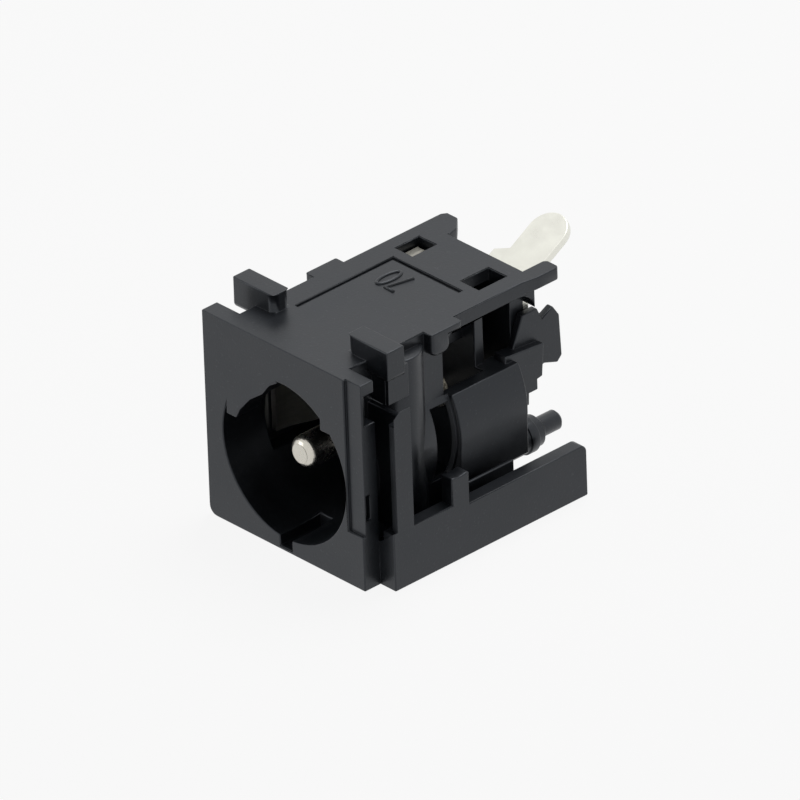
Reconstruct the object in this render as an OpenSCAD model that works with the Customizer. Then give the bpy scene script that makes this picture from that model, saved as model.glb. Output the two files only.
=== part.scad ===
// DC barrel jack for a notebook computer: a moulded housing that carries a turned centre pin
// with its solder lug, and a stamped spring that touches the sleeve of the plug.
// All sizes are in millimetres. +Z is up, the plug goes in along +Y.
// The origin is on the bottom face, under the plug axis, at the back of the front plate.

/* [Front plate] */
// Width of the front plate
plate_w = 10.6; // [10:0.1:11]
// Height of the front plate
plate_h = 10.96; // [10.9:0.02:11.2]
// Thickness of the front plate
plate_t = 1.0; // [0.8:0.05:1.2]
// Depth of the shallow land down the right margin
land_depth = 0.16; // [0.08:0.02:0.24]

/* [Plug socket] */
// Distance of the plug axis from the left edge of the plate
axis_x = 5.33; // [5.2:0.01:5.4]
// Height of the plug axis above the bottom of the plate
axis_z = 4.9; // [4.85:0.05:5.0]
// Radius of the opening in the front plate
mouth_r = 4.17; // [4.0:0.01:4.2]
// Radius of the socket that takes the barrel of the plug
socket_r = 4.0; // [3.9:0.01:4.05]
// Depth of the socket from the front face
socket_depth = 9.6; // [9.2:0.1:9.7]
// Outer radius of the barrel moulded round the socket
barrel_r = 4.6; // [4.55:0.01:4.65]

/* [Top wall] */
// Thickness of the top wall
top_t = 0.7; // [0.6:0.05:0.8]
// Left edge of the top wall
top_left = 1.55; // [1.45:0.05:1.65]
// Right edge of the top wall
top_right = 9.05; // [8.95:0.05:9.15]
// Rear edge of the top wall
top_end = 12.78; // [12.7:0.02:12.9]

/* [Ears] */
// Height of the two ears that hook behind a panel
ear_top = 11.9; // [11.7:0.05:12.1]
// Gap between the plate and the ears, for the panel
panel_gap = 1.0; // [0.8:0.05:1.1]
// Thickness of the ears
ear_t = 1.1; // [0.9:0.05:1.2]

/* [Side rail] */
// Distance of the rail's outer face from the left edge of the plate
rail_x = 11.63; // [11.5:0.01:11.8]
// Thickness of the rail
rail_t = 0.75; // [0.65:0.05:0.85]
// Rear end of the rail
rail_end = 13.35; // [13.2:0.05:13.5]
// Height of the front part of the rail
rail_h = 3.04; // [2.95:0.01:3.1]

/* [Contacts] */
// Radius of the centre pin
pin_r = 0.82; // [0.78:0.01:0.86]
// Distance of the pin's tip behind the front face
pin_setback = 1.0; // [0.8:0.1:1.4]
// Thickness of the solder lug's sheet
lug_t = 0.4; // [0.35:0.05:0.5]
// Angle of the lug's tongue above the horizontal
lug_angle = 30; // [20:1:45]
// Thickness of the sleeve spring's sheet
leaf_t = 0.3; // [0.25:0.05:0.35]

/* [Rear peg] */
// Radius of the moulded peg's body
peg_r = 0.8; // [0.7:0.05:0.85]
// Radius of the peg's end stub
stub_r = 0.5; // [0.4:0.05:0.6]
// Rear end of the peg
peg_end = 14.5; // [14.2:0.1:14.8]

/* [Hidden] */
$fn = 96;
eps = 0.01;
black = "#3d4044";
nickel = "#c9c6bd";
tin = "#e6e6e0";
barrel_end = 12.3;
chamber_front = 10.2;
chamber_back = 11.9;
under_top = plate_h - top_t;
ear_front = plate_t + panel_gap;
ear_back = ear_front + ear_t;
rail_in = rail_x - rail_t;
base_end = 9.85;
base_side = 10.4;
ledge_z = 2.9;
flank_x = 0.6;
peg_x = 8.4;
peg_z = 2.35;
shank_r = pin_r + 0.18;
bend_r = 0.35;
tongue_left = 5.95;
tongue_right = 8.15;
foot_left = 5.2;
bend_z = 9.53;
tongue_len = 2.65;
barrel_back = 11.3;

housing();
center_pin();
solder_lug();
sleeve_spring();

// Moves a shape drawn from the plate's lower left front corner to the frame of the part
module in_frame() translate([-axis_x, -plate_t, 0]) children();

// A box between two corners
module block(low, high) translate(low) cube(high - low);

// Extrudes a profile drawn in X and Z from one depth to another
module along_y(from, to) translate([0, to, 0]) rotate([90, 0, 0]) linear_extrude(to - from) children();

// Extrudes a profile drawn in Y and Z from one side to another
module along_x(from, to) translate([from, 0, 0]) rotate([90, 0, 90]) linear_extrude(to - from) children();

// A rod along Y, round the given X and Z
module rod(x, z, r, from, to) translate([x, to, z]) rotate([90, 0, 0]) cylinder(r = r, h = to - from);

// A tapered rod along Y: the first radius is at the front
module taper(x, z, r_front, r_back, from, to)
  translate([x, to, z]) rotate([90, 0, 0]) cylinder(r1 = r_back, r2 = r_front, h = to - from);

// A rectangle between two corners with all four corners rounded
module soft_rect(low, high, r) {
  translate([low[0] + r, low[1]]) square([high[0] - low[0] - 2 * r, high[1] - low[1]]);
  translate([low[0], low[1] + r]) square([high[0] - low[0], high[1] - low[1] - 2 * r]);
  for (x = [low[0] + r, high[0] - r], y = [low[1] + r, high[1] - r]) translate([x, y]) circle(r);
}

// A block with its corners rounded in the front view and in the side view
module soft_block(low, high, r) {
  intersection() {
    along_y(low[1], high[1]) soft_rect([low[0], low[2]], [high[0], high[2]], r);
    along_x(low[0], high[0]) soft_rect([low[1], low[2]], [high[1], high[2]], r);
  }
}

// ---- Housing ----

module housing() color(black) in_frame() {
  difference() {
    union() {
      plate();
      body();
      ears();
      rail();
      prongs();
    }
    socket();
    chamber();
    windows();
    top_lines();
    plate_cuts();
  }
  mouth_key();
}

// Front plate with its rounded lower left corner
module plate() {
  along_y(0, plate_t) difference() {
    square([plate_w, plate_h]);
    difference() {
      translate([-1, -1]) square(1.5);
      translate([0.5, 0.5]) circle(0.5);
    }
  }
}

// Barrel, base, top wall and side walls behind the plate
module body() {
  block([1.2, plate_t - eps, 0], [9.15, base_end, ledge_z]);
  block([base_side - 0.2, 5.5, 0], [base_side, base_end, ledge_z]);
  block([flank_x, plate_t - eps, 0], [3, base_end, axis_z]);
  block([flank_x, 9, 1.45], [3, barrel_end, 7.4]);
  block([flank_x, plate_t - eps, axis_z - eps], [3, 9 + eps, 7.4]);
  block([9, plate_t - eps, 0], [rail_in + eps, base_end, 0.8]);
  difference() {
    union() {
      block([top_left, plate_t - eps, axis_z], [top_right, top_end, plate_h]);
      rod(axis_x, axis_z, barrel_r - 0.25, plate_t - eps, 7);
      rod(axis_x, axis_z, barrel_r, 7, barrel_back);
      rod(axis_x, axis_z, barrel_r - 1.05, barrel_back - eps, barrel_end);
      block([1.9, 9, 1.45], [8.4, barrel_end, axis_z]);
      block([8, 7, 0.5], [9.88, base_end - 0.05, axis_z]);
      block([8, 9, 2.45], [9.88, barrel_back, axis_z]);
    }
    arch();
  }
  for (side = [0, 1]) flip_side(side) {
    cheek();
    side_tab();
  }
  side_column();
  block([9, ear_front + 0.3, 8.8], [10.1, 3.7, under_top + 0.3]);
  rear_peg();
}

// Mirrors to the left side, about the middle of the top wall
module flip_side(side) {
  middle = (top_left + top_right) / 2;
  translate([side * 2 * middle, 0, 0]) mirror([side, 0, 0]) children();
}

// Arched pocket under the top wall, open to the right side, with ways into the socket and the
// chamber, and the slot beside the column
module arch() {
  along_x(8.2, top_right + 2) {
    translate([8, 7.1]) square([3.7, under_top - 7.1]);
    translate([6.8, 7.1]) square([6, under_top - 8.3]);
    for (y = [8, 11.6]) translate([y, under_top - 1.2]) circle(1.2);
  }
  block([7.4, 7.2, 7.1], [8.3, socket_depth, under_top - 0.4]);
  block([7.4, chamber_front, 7.1], [8.3, chamber_back, under_top]);
  block([8.2, 5.75, 2.9], [11, 6.9, 6.8]);
}

// Wall that guards the rear of the jack: a step flush with the top wall, and a thin horn inside it
module cheek() {
  along_x(8.25, top_right) polygon([
    [10.7, 4.9], [11, 4.3], [12.2, 4.3], [12.25, 5.35], [13.1, 5.5], [13.25, 7.2], [10.75, 7.45]
  ]);
  along_x(8.25, 8.65) polygon([
    [11.5, 6], [13, 5.55], [13.6, 5.8], [14.45, 5.5], [14.75, 5.8], [14.65, 8], [14.25, 8.6],
    [13.55, 8.25], [13.25, 8.9], [12.3, 8.9], [11.5, 7.1]
  ]);
}

// Tab on the side of the top wall, with a round lower end
module side_tab() {
  along_x(top_right - 0.5, 9.6) {
    translate([5.65, plate_h - 0.85]) square([1.2, 0.85]);
    translate([6.05, plate_h - 1.25]) square([0.4, 1]);
    for (y = [6.05, 6.45]) translate([y, plate_h - 0.85]) circle(0.4);
    translate([6.8, plate_h - 0.4]) square([0.85, 0.4]);
  }
}

// Upright half-round column beside the barrel
module side_column() translate([8.3, 4.25, 0.5]) cylinder(r = 1.5, h = under_top - 0.3);

// Moulded peg at the lower right of the rear: collar, body and end stub
module rear_peg() {
  rod(peg_x, peg_z, peg_r + 0.05, 9, 12.1);
  rod(peg_x, peg_z, peg_r + 0.13, 12.1 - eps, 12.6);
  rod(peg_x, peg_z, peg_r, 12.6 - eps, 13);
  taper(peg_x, peg_z, peg_r, stub_r, 13 - eps, 13.3);
  rod(peg_x, peg_z, stub_r, 13.3 - eps, peg_end - 0.15);
  taper(peg_x, peg_z, stub_r, stub_r - 0.15, peg_end - 0.15 - eps, peg_end);
}

// The two ears that hook behind the panel
module ears() {
  soft_block([0, ear_front, under_top], [2.8, ear_back, ear_top], 0.28);
  soft_block([7.75, ear_front, under_top], [plate_w - 0.1, ear_back, ear_top], 0.28);
}

// Rail down the right side, with its post, the slim rib at its front end and the rib's web
module rail() {
  along_x(rail_in, rail_x) difference() {
    translate([plate_t, 0]) square([rail_end - plate_t, rail_h]);
    translate([5.5, 2.75]) square([10, 1]);
    translate([rail_end - 0.4, 2.35]) difference() {
      square(1);
      circle(0.4);
    }
  }
  along_x(rail_in, rail_x) difference() {
    translate([4.75, 2]) square([1.1, 2.45]);
    translate([5.3, 5.5]) circle(1.1);
  }
  along_y(plate_t - eps, 1.45) polygon([
    [plate_w - 0.3, 0], [rail_x, 0], [rail_x, 3.1], [plate_w + 0.1, 2.35], [plate_w - 0.3, 2.35]
  ]);
  along_x(rail_x - 0.4, rail_x) polygon([
    [1.25, 2.5], [2.3, 2.5], [2.3, 9.4], [1.6, 9.4], [1.25, 9.1]
  ]);
  block([9, ear_front, 2.5], [rail_x - 0.2, 2.3, 8.35]);
}

// Prongs at the rear edge of the top wall
module prongs() {
  translate([0, 0, under_top]) linear_extrude(top_t) polygon([
    [top_left, 12], [3.3, 12], [3.23, 12.9], [3.11, 13.43], [2.4, 14.15], [1.7, 14.15], [top_left, 13.9]
  ]);
  translate([0, 0, under_top + 0.05]) linear_extrude(top_t - 0.05) polygon([
    [8.25, 12], [top_right, 12], [9.2, 12.9], [9.2, 14.1], [9.05, 14.25], [8.4, 14.25], [8.25, 14.1]
  ]);
}

// Bore for the plug: mouth, socket, key slot and the hole for the centre pin
module socket() {
  translate([axis_x, 0, axis_z]) rotate([-90, 0, 0]) rotate_extrude() polygon([
    [0, -1], [mouth_r, -1], [mouth_r, 1.5], [socket_r, 3], [socket_r, socket_depth], [0, socket_depth]
  ]);
  block([4.85, -1, 0.2], [5.65, 2.6, 2]);
  rod(axis_x, axis_z, shank_r, socket_depth - 1, 14);
}

// Stepped key moulded across the upper left of the mouth, and the small step on the right
module mouth_key() {
  along_y(0, 1.5) intersection() {
    translate([axis_x, axis_z]) circle(mouth_r + 0.5);
    union() {
      polygon([
        [1.45, 5.96], [2.1, 5.96], [2.39, 6.51], [3.11, 7.33], [3.95, 7.94],
        [4.53, 8.65], [5.02, 8.96], [5, 9.6], [2, 9.6], [1.45, 8]
      ]);
      polygon([[7.87, 8.22], [7.87, 7.6], [8.42, 7.6], [8.9, 7.6], [8.9, 8.6], [7.87, 8.6]]);
    }
  }
}

// Rear chamber for the contacts, open below, with the pocket for the spring's leaf and its tail slot
module chamber() {
  block([1.9, chamber_front, -1], [peg_x - 0.4, chamber_back, under_top]);
  block([0.95, 2.6, 3], [1.95, chamber_back, 6.8]);
  block([2.1, chamber_back - 1, 3.4], [3.9, barrel_end + 1, 3.4 + leaf_t]);
}

// Windows in the top wall over the chamber
module windows() {
  block([2.35, 10.2, under_top - 1], [3.5, 11.7, plate_h + 1]);
  block([6.85, 10.15, under_top - 1], [8.05, 11.9, plate_h + 1]);
}

// Thin engraved line on the top wall
module top_lines() {
  block([2.92, 3.29, plate_h - 0.12], [3.04, 9.51, plate_h + 1]);
  block([2.92, 9.39, plate_h - 0.12], [7.53, 9.51, plate_h + 1]);
}

// Shallow land, notch and slit at the right edge of the plate
module plate_cuts() {
  block([9.6, -1, 2.9], [plate_w + 1, land_depth, plate_h + 1]);
  block([9.95, 0.35, 8.75], [plate_w + 1, 2.35, 10.3]);
  block([10.3, 0.26, 3.75], [plate_w + 1, 0.53, 5]);
}

// ---- Contacts ----

// Turned pin with a domed tip, a shoulder behind the rear wall and a riveted tail
module center_pin() color(nickel) in_frame() {
  translate([axis_x, pin_setback, axis_z]) rotate([-90, 0, 0]) rotate_extrude() {
    translate([0, 0.45]) square([pin_r, socket_depth - pin_setback - 0.4]);
    translate([0, socket_depth - pin_setback]) square([shank_r, top_end - socket_depth]);
    square([pin_r - 0.45, 1]);
    intersection() {
      translate([pin_r - 0.45, 0.45]) circle(0.45);
      square([pin_r, 1]);
    }
    square([0.5, top_end - pin_setback + lug_t + 0.3]);
    translate([0, top_end - pin_setback + lug_t]) square([0.85, 0.3]);
  }
}

// Stamped lug: an upright plate riveted on the pin, bent back into a round-ended tongue
module solder_lug() color(tin) in_frame() {
  difference() {
    along_y(top_end, top_end + lug_t) polygon([
      [3.9, 3.5], [6.7, 3.5], [tongue_right, 5.6], [tongue_right, bend_z + eps],
      [foot_left, bend_z + eps], [foot_left, 7.4], [3.9, 6.2]
    ]);
    rod(axis_x, axis_z, 0.5, 12, 14);
  }
  turn = 90 - lug_angle;
  translate([foot_left, top_end + bend_r + lug_t, bend_z]) rotate([90, 0, 90]) {
    rotate([0, 0, 180 - turn]) rotate_extrude(angle = turn)
      translate([bend_r, 0]) square([lug_t, tongue_right - foot_left]);
    rotate([0, 0, 180 - turn]) translate([bend_r, eps, 0]) rotate([90, 0, 0]) tongue();
  }
}

// Flat tongue of the lug, with its wider foot and its round tip
module tongue() {
  width = tongue_right - tongue_left;
  side = tongue_left - foot_left;
  rotate([90, 0, 90]) linear_extrude(lug_t) {
    translate([side, 0]) square([width, tongue_len]);
    translate([side + width / 2, tongue_len]) circle(width / 2);
    polygon([[0, 0], [side + eps, 0], [side + eps, 1.15], [0, 0.75]]);
  }
}

// Stamped spring: a bowed leaf in the left wall of the socket, a rear web with a lip under the
// window, and a solder tail bent out through the rear wall
module sleeve_spring() color(nickel) in_frame() {
  leaf_x = 1.05;
  web = 10.6;
  translate([0, 0, 3.6]) linear_extrude(2.4) leaf_profile(leaf_x);
  difference() {
    union() {
      block([leaf_x, web, 3.4], [4.1, web + leaf_t, 6]);
      block([2.45, web, 5], [3.4, web + leaf_t, 10.5]);
    }
    rod(axis_x, axis_z, 1.5, 10, 12);
  }
  block([2.45, web, 10.5 - leaf_t], [3.4, 11.5, 10.5]);
  translate([0, 0, 3.4]) linear_extrude(leaf_t) {
    translate([2.15, web]) square([1.6, 3.3]);
    translate([2.95, web + 3.3]) circle(0.8);
  }
}

// Outline of the leaf from above: straight foot, then bowed towards the plug
module leaf_profile(x) {
  polygon(concat(
    [for (i = [0 : 24]) [x + bow(i / 24), 3.2 + 7.7 * i / 24]],
    [for (i = [24 : -1 : 0]) [x + leaf_t + bow(i / 24), 3.2 + 7.7 * i / 24]]
  ));
}

// Sideways bow of the leaf along its length
function bow(t) = 0.75 * pow(sin(180 * min(1, t / 0.8)), 2);
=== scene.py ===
import math

import bmesh
import bpy
from mathutils import Matrix, Vector


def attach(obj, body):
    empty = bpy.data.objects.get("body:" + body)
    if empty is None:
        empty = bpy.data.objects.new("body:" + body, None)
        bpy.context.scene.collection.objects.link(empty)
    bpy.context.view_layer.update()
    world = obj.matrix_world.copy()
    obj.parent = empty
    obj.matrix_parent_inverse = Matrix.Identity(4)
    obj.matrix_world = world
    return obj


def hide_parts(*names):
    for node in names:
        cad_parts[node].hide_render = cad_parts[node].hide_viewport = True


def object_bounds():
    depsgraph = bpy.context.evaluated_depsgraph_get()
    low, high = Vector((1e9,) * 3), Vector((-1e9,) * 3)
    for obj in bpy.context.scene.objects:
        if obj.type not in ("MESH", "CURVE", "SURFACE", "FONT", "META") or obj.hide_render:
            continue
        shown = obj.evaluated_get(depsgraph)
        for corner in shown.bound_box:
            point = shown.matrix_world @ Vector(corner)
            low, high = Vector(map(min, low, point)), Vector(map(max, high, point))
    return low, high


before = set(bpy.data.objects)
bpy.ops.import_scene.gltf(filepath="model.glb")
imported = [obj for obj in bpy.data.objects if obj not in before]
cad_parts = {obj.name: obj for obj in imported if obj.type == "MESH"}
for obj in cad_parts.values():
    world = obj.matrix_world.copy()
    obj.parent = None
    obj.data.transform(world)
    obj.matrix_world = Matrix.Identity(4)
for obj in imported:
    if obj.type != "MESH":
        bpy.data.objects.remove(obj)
cad_low, cad_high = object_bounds()

# ---- Camera, floor and light ----
# A catalogue view from the right front corner: a long lens far away, so that edges stay parallel.
# The camera leans by two degrees, so that the jack stands slightly off level. The jack is on white
# paper in a white room, which its plastic and its metal reflect, with two soft lamps.

MM = 0.001
view_azimuth = math.radians(47.68)
view_elevation = math.radians(30.07)
view_lean = math.radians(2.09)
view_centre = Vector((0.48, 5.985, 5.469)) * MM
view_width = 37.27 * MM
view_distance = 1100 * MM


def add_object(name, data):
    """A new object of the scene that shows the given data."""
    added = bpy.data.objects.new(name, data)
    bpy.context.scene.collection.objects.link(added)
    return added


def direction(azimuth, elevation):
    """The direction from the jack to a place at this azimuth and elevation."""
    return Vector((
        math.sin(azimuth) * math.cos(elevation),
        -math.cos(azimuth) * math.cos(elevation),
        math.sin(elevation),
    ))


camera_data = bpy.data.cameras.new("catalogue_camera")
camera_data.sensor_width = 36
camera_data.lens = camera_data.sensor_width * view_distance / view_width
camera_data.clip_start = 0.01
camera_data.clip_end = 10
camera = add_object("catalogue_camera", camera_data)
bpy.context.scene.camera = camera
back = direction(view_azimuth, view_elevation)
level_right = Vector((math.cos(view_azimuth), math.sin(view_azimuth), 0))
lean = Matrix.Rotation(-view_lean, 3, back)
right, up = lean @ level_right, lean @ back.cross(level_right)
camera_place = view_centre + back * view_distance
camera.matrix_world = Matrix((
    (right.x, up.x, back.x, camera_place.x),
    (right.y, up.y, back.y, camera_place.y),
    (right.z, up.z, back.z, camera_place.z),
    (0, 0, 0, 1),
))


def linear(hex_colour):
    """An sRGB hex colour as the linear values that a shader takes."""
    channels = [int(hex_colour[i:i + 2], 16) / 255 for i in (1, 3, 5)]
    return (*(c / 12.92 if c <= 0.04045 else ((c + 0.055) / 1.055) ** 2.4 for c in channels), 1)


def new_material(name):
    """A node material: the material, its node tree and its Principled shader."""
    material = bpy.data.materials.new(name)
    material.use_nodes = True
    tree = material.node_tree
    return material, tree, tree.nodes["Principled BSDF"]


def add_node(tree, kind, settings=None, links=None):
    """Adds a node, sets its properties (lower case) and its sockets, and links its inputs."""
    node = tree.nodes.new(kind)
    for key, value in (settings or {}).items():
        if isinstance(key, str) and key.islower():
            setattr(node, key, value)
        else:
            node.inputs[key].default_value = value
    for key, source in (links or {}).items():
        tree.links.new(source, node.inputs[key])
    return node


def wear(mesh, material):
    """Gives a mesh this one material."""
    mesh.materials.clear()
    mesh.materials.append(material)


# Studio floor: matt white paper. The camera sees it as plain white with a faint soft shadow,
# and the object gets its plain bounce light.
floor_reach = 2   # metres each way
floor_gap = 0.02 * MM
shadow_share = 0.1
floor_mesh = bpy.data.meshes.new("studio_floor")
shape = bmesh.new()
bmesh.ops.create_grid(shape, x_segments=1, y_segments=1, size=floor_reach)
shape.to_mesh(floor_mesh)
shape.free()
floor = add_object("studio_floor", floor_mesh)
floor.location.z = cad_low.z - floor_gap
paper, tree, shader = new_material("white_paper_floor")
shader.inputs["Base Color"].default_value = linear("#f4f4f4")
shader.inputs["Roughness"].default_value = 1.0
shader.inputs["Specular IOR Level"].default_value = 0.0
glow = add_node(tree, "ShaderNodeEmission", {"Color": (1, 1, 1, 1), "Strength": 1.0})
ray = add_node(tree, "ShaderNodeLightPath")
seen = add_node(
    tree, "ShaderNodeMath", {"operation": "MULTIPLY", 1: 1 - shadow_share}, {0: ray.outputs["Is Camera Ray"]}
)
share = add_node(
    tree, "ShaderNodeMath", {"operation": "MAXIMUM"}, {0: seen.outputs[0], 1: ray.outputs["Is Glossy Ray"]}
)
blend = add_node(
    tree, "ShaderNodeMixShader", {}, {0: share.outputs[0], 1: shader.outputs[0], 2: glow.outputs[0]}
)
tree.links.new(blend.outputs[0], tree.nodes["Material Output"].inputs["Surface"])
wear(floor_mesh, paper)

# White room: plain white to the camera and in reflections, and a low fill for everything else.
room_fill = 0.14
world = bpy.data.worlds.new("white_room")
bpy.context.scene.world = world
world.use_nodes = True
tree = world.node_tree
room = tree.nodes["Background"]
room.inputs["Color"].default_value = (1, 1, 1, 1)
ray = add_node(tree, "ShaderNodeLightPath")
seen = add_node(
    tree, "ShaderNodeMath", {"operation": "MAXIMUM", 1: room_fill}, {0: ray.outputs["Is Camera Ray"]}
)
level = add_node(
    tree, "ShaderNodeMath", {"operation": "MAXIMUM"}, {0: seen.outputs[0], 1: ray.outputs["Is Glossy Ray"]}
)
tree.links.new(level.outputs[0], room.inputs["Strength"])


def soft_lamp(name, azimuth, elevation, distance, size, power):
    """A square area lamp that faces the middle of the jack. Angles are in degrees, lengths in mm."""
    lamp_data = bpy.data.lights.new(name, "AREA")
    lamp_data.size = size * MM
    lamp_data.energy = power
    lamp = add_object(name, lamp_data)
    away = direction(math.radians(azimuth), math.radians(elevation))
    lamp.location = view_centre + away * distance * MM
    lamp.rotation_euler = away.to_track_quat("Z", "Y").to_euler()


soft_lamp("overhead_softbox", azimuth=-170, elevation=68, distance=130, size=70, power=0.07)
soft_lamp("front_softbox", azimuth=-35, elevation=10, distance=150, size=50, power=0.02)

# ---- Housing ----
# One black moulding of glass-filled nylon. The mould rounds its edges slightly and the upright
# corners of its ears the most, so a copy of the solid is trimmed and rounded edge by edge.

edge_round = 0.07 * MM     # where two faces meet
inner_round = 0.014 * MM   # in a hollow corner
end_round = 0.12 * MM      # round the left ear's outer end
tab_round = 0.2 * MM       # round the outline of the side tabs
corner_round = 0.4 * MM    # at the other upright corners of the ears, and the most there is
room_share = 0.4           # a rounding takes up no more of a face's width than this
sharp_edge = math.radians(28)
bend_limit = math.radians(25)
flat_limit = math.radians(0.5)
weld = 0.0005 * MM         # corners closer than this are one corner
rim_weld = 0.006 * MM      # the same along a cut, where the facets are shorter than they need to be
near = 0.1 * MM            # closer than this to a line or a face counts as on it


def room_inwards(edge, face):
    """How far a face reaches inwards from one of its edges before it meets another one."""
    loop = next(loop for loop in edge.link_loops if loop.face is face)
    start, end = loop.vert.co, edge.other_vert(loop.vert).co
    middle, along = (start + end) / 2, (end - start).normalized()
    inwards = face.normal.cross(along)
    room = math.inf
    for other in face.edges:
        p, q = (v.co - middle for v in other.verts)
        before, after = p.dot(along), q.dot(along)
        if other is not edge and before * after < 0:
            depth = p.dot(inwards) + (q - p).dot(inwards) * before / (before - after)
            if depth > 0:
                room = min(room, depth)
    for side in (loop.link_loop_prev.edge, loop.link_loop_next.edge):
        run = side.verts[1].co - side.verts[0].co
        turn = run.angle(along, 0)
        if min(turn, math.pi - turn) > bend_limit:
            room = min(room, run.length * math.sin(turn))
    return room


def whole_faces(shape):
    """Joins the faces that lie in one plane."""
    bmesh.ops.dissolve_limit(
        shape, angle_limit=flat_limit, verts=shape.verts, edges=shape.edges, delimit={"NORMAL"}
    )


def merged_copy(node):
    """A solid's shape with its corners joined and its flat faces made whole."""
    shape = bmesh.new()
    shape.from_mesh(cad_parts[node].data)
    bmesh.ops.remove_doubles(shape, verts=shape.verts, dist=weld)
    whole_faces(shape)
    return shape


def rounded_piece(shape, name, round_of):
    """A piece whose sharp edges are rounded as far as they have room, with its flat faces kept flat."""
    shape.normal_update()
    share = shape.edges.layers.float.new("bevel_weight_edge")
    for edge in shape.edges:
        if edge.is_manifold and edge.calc_face_angle(0) > sharp_edge:
            room = min(room_inwards(edge, face) for face in edge.link_faces)
            edge[share] = min(round_of(edge), room_share * room) / corner_round
            edge.smooth = edge[share] > 0
    for face in shape.faces:
        face.smooth = True
    mesh = bpy.data.meshes.new(name)
    shape.to_mesh(mesh)
    shape.free()
    piece = add_object(name, mesh)
    bevel = piece.modifiers.new("rounded_edges", "BEVEL")
    bevel.limit_method = "WEIGHT"
    bevel.offset_type = "OFFSET"
    bevel.width = corner_round
    bevel.segments = 3
    bevel.use_clamp_overlap = False
    flat = piece.modifiers.new("flat_faces", "WEIGHTED_NORMAL")
    flat.weight = 90
    flat.keep_sharp = True
    return piece


def inside(point, low, high):
    """Whether a point lies in the box between two opposite corners."""
    return all(a < c < b for a, c, b in zip(low, point, high))


def drawn_out(shape, axis, cut, end, box):
    """Cuts what is in the box off square across an axis and draws it out again with straight sides."""
    faces = [face for face in shape.faces if all(inside(corner.co, *box) for corner in face.verts)]
    parts = dict.fromkeys(part for face in faces for part in (face, *face.edges, *face.verts))
    plane, outwards = Vector(), Vector()
    plane[axis] = cut
    outwards[axis] = math.copysign(1, end - cut)
    bmesh.ops.bisect_plane(shape, geom=list(parts), plane_co=plane, plane_no=outwards, clear_outer=True)
    corners = dict.fromkeys(corner for edge in shape.edges if edge.is_boundary for corner in edge.verts)
    bmesh.ops.remove_doubles(shape, verts=list(corners), dist=rim_weld)
    rim = [edge for edge in shape.edges if edge.is_boundary]
    drawn = bmesh.ops.extrude_edge_only(shape, edges=rim)["geom"]
    corners = [part for part in drawn if isinstance(part, bmesh.types.BMVert)]
    rim = [part for part in drawn if isinstance(part, bmesh.types.BMEdge)]
    bmesh.ops.translate(shape, verts=corners, vec=outwards * abs(end - cut))
    bmesh.ops.holes_fill(shape, edges=rim, sides=0)


# The ears are drawn out again with straight sides, both at their tops and the left one also at
# its outer end, which leaves square corners that can be rounded in plan.
shape = merged_copy("housing")
ear_top = max(corner.co.z for corner in shape.verts)
margin = Vector((1, 1, 1)) * MM
whole_box = (cad_low - margin, cad_high + margin)
ear_box = (
    Vector((whole_box[0].x, 0.95 * MM, 10.2 * MM)),
    Vector((whole_box[1].x, 2.15 * MM, whole_box[1].z)),
)
drawn_out(shape, axis=2, cut=11 * MM, end=ear_top, box=whole_box)
drawn_out(shape, axis=0, cut=-3.9 * MM, end=cad_low.x, box=ear_box)

# The web behind the plate's notch is carried up to the block under the right ear.
web_rise = 0.43 * MM
web_box = (
    Vector((whole_box[0].x, 0.9 * MM, 8.34 * MM)),
    Vector((whole_box[1].x, 1.4 * MM, 8.36 * MM)),
)
for corner in shape.verts:
    if inside(corner.co, *web_box):
        corner.co.z += web_rise

# The engraved line on the top wall is opened a little on each side and deepened as much.
line_extra = 0.04 * MM
line_middle = Vector((-2.35, 8.45, 10.9)) * MM
line_box = (
    Vector((line_middle.x - near, 2.2 * MM, line_middle.z - near)),
    Vector((2.3 * MM, line_middle.y + near, line_middle.z + near)),
)
for corner in shape.verts:
    if inside(corner.co, *line_box):
        off = corner.co - line_middle
        for axis in (0, 1):
            if abs(off[axis]) < near:
                corner.co[axis] += math.copysign(line_extra, off[axis])
        if off.z < 0:
            corner.co.z -= line_extra

whole_faces(shape)
bmesh.ops.recalc_face_normals(shape, faces=shape.faces)

across_limit = 0.1   # an edge with less of x than this in its direction runs across the ears
ear_ends = (-5 * MM, 4.9 * MM)
tab_box = (Vector((4.25, 4.5, 9.5)) * MM, Vector((4.35, 16, 10.9)) * MM)


def housing_round(edge):
    """Rounding of an edge of the moulding."""
    if edge.calc_face_angle_signed(0) < 0:
        return inner_round
    middle = (edge.verts[0].co + edge.verts[1].co) / 2
    run = (edge.verts[1].co - edge.verts[0].co).normalized()
    below_top = middle.z < ear_top - near
    if inside(middle, *ear_box) and below_top and abs(run.x) < across_limit and middle.x < ear_ends[1]:
        return corner_round if middle.x > ear_ends[0] else end_round
    if inside((abs(middle.x), middle.y, middle.z), *tab_box):
        return tab_round
    return edge_round


housing = rounded_piece(shape, "moulded_housing", housing_round)

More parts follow.
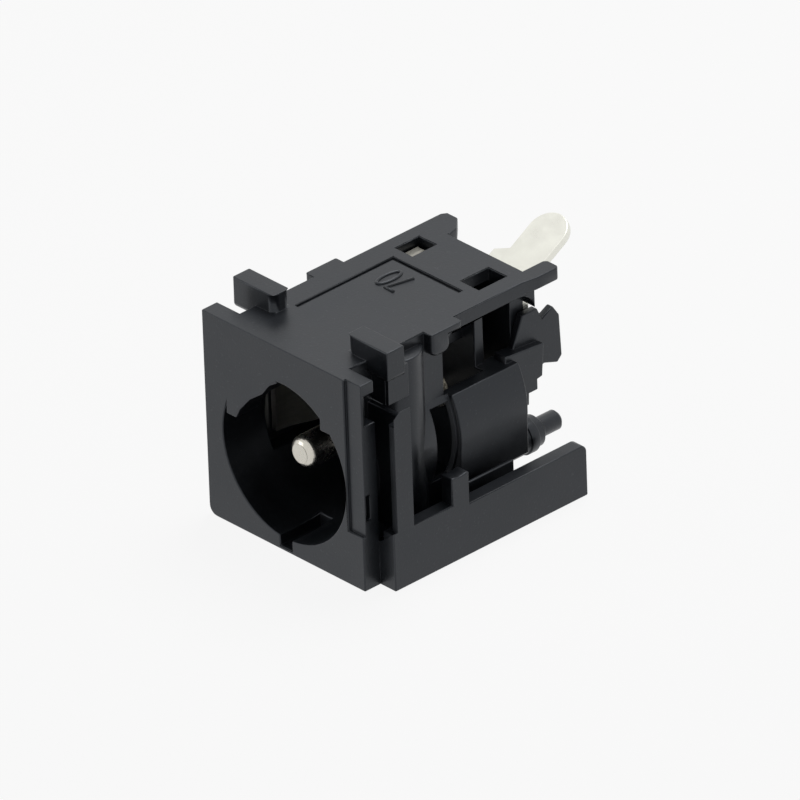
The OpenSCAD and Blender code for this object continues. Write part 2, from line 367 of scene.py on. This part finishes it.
# Black nylon from a spark-eroded mould: a satin skin with a fine even grain, slow changes of
# gloss where the melt flowed, and pale ends of glass fibre just under the skin. The real grain
# is about 0.03 mm; it is drawn at 0.11 mm so that it shows.
plastic, tree, shader = new_material("moulded_black_nylon")
place = add_node(tree, "ShaderNodeTexCoord").outputs["Object"]
flow = add_node(
    tree, "ShaderNodeTexNoise", {"Scale": 1 / (2.6 * MM), "Detail": 3, "Roughness": 0.55}, {"Vector": place}
)
fibre = add_node(
    tree, "ShaderNodeTexNoise", {"Scale": 1 / (0.16 * MM), "Detail": 2, "Roughness": 0.7}, {"Vector": place}
)
grain = add_node(
    tree, "ShaderNodeTexNoise", {"Scale": 1 / (0.11 * MM), "Detail": 2, "Roughness": 0.6}, {"Vector": place}
)
flow_tone = add_node(
    tree, "ShaderNodeMix", {"data_type": "RGBA", 6: linear("#14161a"), 7: linear("#202327")},
    {0: flow.outputs["Fac"]},
)
fleck = add_node(
    tree, "ShaderNodeMapRange", {"From Min": 0.62, "From Max": 0.8, "To Min": 0.0, "To Max": 0.2},
    {"Value": fibre.outputs["Fac"]},
)
skin = add_node(
    tree, "ShaderNodeMix", {"data_type": "RGBA", 7: linear("#6b6f73")},
    {0: fleck.outputs["Result"], 6: flow_tone.outputs[2]},
)
gloss = add_node(
    tree, "ShaderNodeMapRange", {"From Min": 0.3, "From Max": 0.7, "To Min": 0.28, "To Max": 0.42},
    {"Value": flow.outputs["Fac"]},
)
relief = add_node(
    tree, "ShaderNodeBump", {"Strength": 0.35, "Distance": 0.012 * MM}, {"Height": grain.outputs["Fac"]}
)
shader.inputs["Specular IOR Level"].default_value = 0.45
shader.inputs["Specular Tint"].default_value = linear("#f0f6ff")
tree.links.new(skin.outputs[2], shader.inputs["Base Color"])
tree.links.new(gloss.outputs["Result"], shader.inputs["Roughness"])
tree.links.new(relief.outputs["Normal"], shader.inputs["Normal"])
wear(housing.data, plastic)
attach(housing, "root")
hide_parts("housing")

# ---- Cavity number ----
# Two plain digits, a seven and a nought, that tell which cavity of the mould the part came from.
# They are thin raised strokes, cut into the mould with a ball cutter, and read from the rear.

digit_height = 1.5 * MM
digit_width = 0.56 * MM
digit_pitch = 0.82 * MM
stroke_radius = 0.09 * MM
number_place = Vector((-0.72, 7.03, 10.96)) * MM
nought_sides = 32
nought_turns = [2 * math.pi * i / nought_sides for i in range(nought_sides)]
nought = [
    (digit_pitch / 2 + digit_width / 2 * math.cos(turn), digit_height / 2 * math.sin(turn))
    for turn in nought_turns
]
seven_bar, seven_foot = digit_height / 2, -digit_height / 2
seven = [
    (-digit_pitch / 2 - digit_width / 2, seven_bar),
    (-digit_pitch / 2 + digit_width / 2, seven_bar),
    (-digit_pitch / 2 - digit_width / 8, seven_foot),
]
strokes = bpy.data.curves.new("cavity_number", "CURVE")
strokes.dimensions = "3D"
strokes.bevel_depth = stroke_radius
strokes.bevel_resolution = 3
strokes.use_fill_caps = True
for outline, closed in ((nought, True), (seven, False)):
    spline = strokes.splines.new("POLY")
    spline.points.add(len(outline) - 1)
    spline.use_cyclic_u = closed
    for point, (x, y) in zip(spline.points, outline):
        point.co = (x, y, 0, 1)
drawn = bpy.data.objects.new("cavity_number_strokes", strokes)
number_mesh = bpy.data.meshes.new_from_object(drawn)
bpy.data.objects.remove(drawn)
shape = bmesh.new()
shape.from_mesh(number_mesh)
shape.transform(Matrix.Translation(number_place) @ Matrix.Rotation(math.pi, 4, "Z"))
bmesh.ops.remove_doubles(shape, verts=shape.verts, dist=weld)
bmesh.ops.recalc_face_normals(shape, faces=shape.faces)
shape.to_mesh(number_mesh)
shape.free()
wear(number_mesh, plastic)
number = add_object("cavity_number", number_mesh)
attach(number, "root")

# ---- Centre pin ----
# Brass rod turned to a rounded nose and plated with nickel. It is driven through the rear wall and
# its tail is riveted. The lathe leaves fine rings round it; real ones are about 0.02 mm apart and
# are drawn at 0.07 mm so that they show.

wave_length = math.pi / 10   # of a wave texture whose scale is 1
ring_pitch = 0.07 * MM
nickel, tree, shader = new_material("turned_nickel_plated_brass")
shader.inputs["Metallic"].default_value = 1
place = add_node(tree, "ShaderNodeTexCoord").outputs["Object"]
cloud = add_node(tree, "ShaderNodeTexNoise", {"Scale": 1 / (0.9 * MM), "Detail": 3}, {"Vector": place})
rings = add_node(
    tree, "ShaderNodeTexWave",
    {"bands_direction": "Y", "Scale": wave_length / ring_pitch, "Distortion": 0.4}, {"Vector": place},
)
tone = add_node(
    tree, "ShaderNodeMix", {"data_type": "RGBA", 6: linear("#b9b5ab"), 7: linear("#d6d3ca")},
    {0: cloud.outputs["Fac"]},
)
polish = add_node(
    tree, "ShaderNodeMapRange", {"From Min": 0.3, "From Max": 0.7, "To Min": 0.2, "To Max": 0.36},
    {"Value": cloud.outputs["Fac"]},
)
relief = add_node(
    tree, "ShaderNodeBump", {"Strength": 0.3, "Distance": 0.004 * MM}, {"Height": rings.outputs["Fac"]}
)
tree.links.new(tone.outputs[2], shader.inputs["Base Color"])
tree.links.new(polish.outputs["Result"], shader.inputs["Roughness"])
tree.links.new(relief.outputs["Normal"], shader.inputs["Normal"])
wear(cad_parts["center_pin"].data, nickel)

# ---- Sleeve spring ----
# Nickel-plated copper alloy strip, stamped, bent and pushed into a pocket in the left wall. Rolling
# leaves faint streaks along the strip, and handling leaves it a little duller than the pin. Its tone is
# also set darker than the pin's: painted shade of the socket that it sits in.

strip, tree, shader = new_material("rolled_nickel_plated_strip")
shader.inputs["Metallic"].default_value = 1
place = add_node(tree, "ShaderNodeTexCoord").outputs["Object"]
along = add_node(tree, "ShaderNodeMapping", {"Scale": (1, 0.06, 1)}, {"Vector": place}).outputs["Vector"]
streak = add_node(
    tree, "ShaderNodeTexNoise", {"Scale": 1 / (0.12 * MM), "Detail": 3, "Roughness": 0.6}, {"Vector": along}
)
# The strip's tones are darker than the pin's partly as painted shade of the socket around it.
tone = add_node(
    tree, "ShaderNodeMix", {"data_type": "RGBA", 6: linear("#a9a69c"), 7: linear("#c6c4bb")},
    {0: streak.outputs["Fac"]},
)
polish = add_node(
    tree, "ShaderNodeMapRange", {"From Min": 0.3, "From Max": 0.7, "To Min": 0.28, "To Max": 0.42},
    {"Value": streak.outputs["Fac"]},
)
relief = add_node(
    tree, "ShaderNodeBump", {"Strength": 0.25, "Distance": 0.003 * MM}, {"Height": streak.outputs["Fac"]}
)
tree.links.new(tone.outputs[2], shader.inputs["Base Color"])
tree.links.new(polish.outputs["Result"], shader.inputs["Roughness"])
tree.links.new(relief.outputs["Normal"], shader.inputs["Normal"])
wear(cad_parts["sleeve_spring"].data, strip)

# ---- Solder lug ----
# Brass sheet with a bright tin plate, stamped, bent and held on the rear wall by the pin's riveted
# tail. The punch rounds its edges a little, and the plating is faintly wavy and clouded, as dipped
# tin is.

punch_round = 0.05 * MM
lug = rounded_piece(merged_copy("solder_lug"), "stamped_lug", lambda edge: punch_round)
tin, tree, shader = new_material("tin_plated_brass_sheet")
shader.inputs["Metallic"].default_value = 1
place = add_node(tree, "ShaderNodeTexCoord").outputs["Object"]
cloud = add_node(
    tree, "ShaderNodeTexNoise", {"Scale": 1 / (0.8 * MM), "Detail": 4, "Roughness": 0.6}, {"Vector": place}
)
ripple = add_node(tree, "ShaderNodeTexNoise", {"Scale": 1 / (0.35 * MM), "Detail": 1}, {"Vector": place})
tone = add_node(
    tree, "ShaderNodeMix", {"data_type": "RGBA", 6: linear("#dcdbd2"), 7: linear("#ecece3")},
    {0: cloud.outputs["Fac"]},
)
polish = add_node(
    tree, "ShaderNodeMapRange", {"From Min": 0.3, "From Max": 0.7, "To Min": 0.26, "To Max": 0.42},
    {"Value": cloud.outputs["Fac"]},
)
relief = add_node(
    tree, "ShaderNodeBump", {"Strength": 0.3, "Distance": 0.01 * MM}, {"Height": ripple.outputs["Fac"]}
)
tree.links.new(tone.outputs[2], shader.inputs["Base Color"])
tree.links.new(polish.outputs["Result"], shader.inputs["Roughness"])
tree.links.new(relief.outputs["Normal"], shader.inputs["Normal"])
wear(lug.data, tin)
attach(lug, "root")
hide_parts("solder_lug")

bpy.context.scene.view_settings.view_transform = "Standard"
